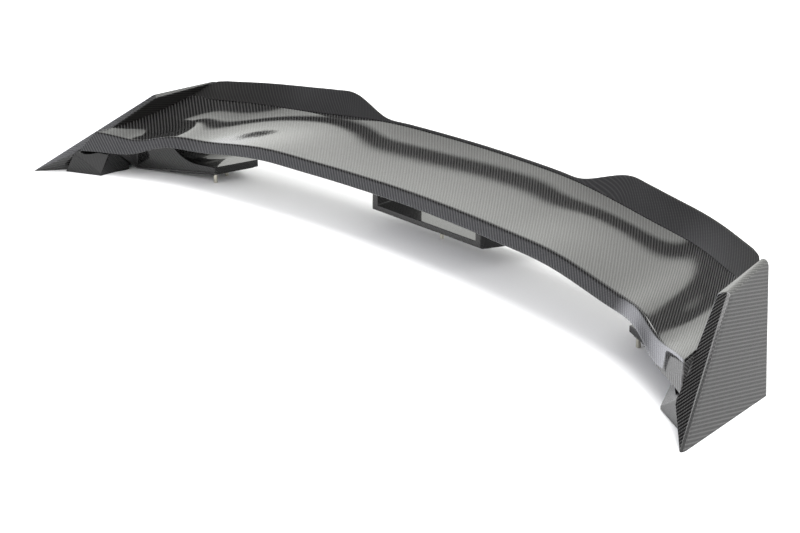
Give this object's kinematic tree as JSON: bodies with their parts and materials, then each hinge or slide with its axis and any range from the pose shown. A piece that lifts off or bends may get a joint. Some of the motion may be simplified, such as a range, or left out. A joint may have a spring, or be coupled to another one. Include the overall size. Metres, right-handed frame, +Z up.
{
  "type": "racing rear wing",
  "caption": "Carbon rear wing with a swept blade, a raised two-hump flap, wedge endplates, outer legs and a centre pedestal with mounting studs.",
  "frame": {"origin": "the centre mounting stud's axis, at the underside of the centre pedestal", "axes": "+X across the car to the wing's right-hand end, +Y to the rear, from leading to trailing edge, +Z up out of the car's deck"},
  "size_m": [1.3962, 0.3447, 0.1543],
  "materials": {
    "carbon_gloss": "2x2 twill carbon under clear lacquer, gloss",
    "carbon_satin": "2x2 twill carbon, satin",
    "black_gloss": "moulded, gloss black",
    "foam": "structural foam",
    "seal_foam": "closed-cell foam rubber, matt",
    "plate_steel": "zinc plated",
    "stud_steel": "yellow zinc plated",
    "screw_steel": "black oxide",
    "insert_metal": "plain machined"
  },
  "bodies": {
    "root": {"upper_skin": "carbon_gloss", "lower_skin": "carbon_gloss", "foam_core": "foam", "blade_inserts": "insert_metal", "trailing_flap": "carbon_satin", "centre_pedestal": "black_gloss", "centre_stud_plate": "plate_steel", "centre_stud": "stud_steel", "centre_seal": "seal_foam", "centre_screws": "screw_steel", "left_endplate_outer": "carbon_gloss", "right_endplate_outer": "carbon_gloss", "left_endplate_inner": "carbon_satin", "right_endplate_inner": "carbon_satin", "left_endplate_core": "foam", "right_endplate_core": "foam", "left_end_rib": "carbon_gloss", "right_end_rib": "carbon_gloss", "left_endplate_screws": "screw_steel", "right_endplate_screws": "screw_steel", "left_leg": "black_gloss", "right_leg": "black_gloss", "left_leg_screws": "screw_steel", "right_leg_screws": "screw_steel", "left_stud_plate": "plate_steel", "right_stud_plate": "plate_steel", "left_studs": "stud_steel", "right_studs": "stud_steel", "left_foot_seal": "seal_foam", "right_foot_seal": "seal_foam"}
  },
  "joints": []
}
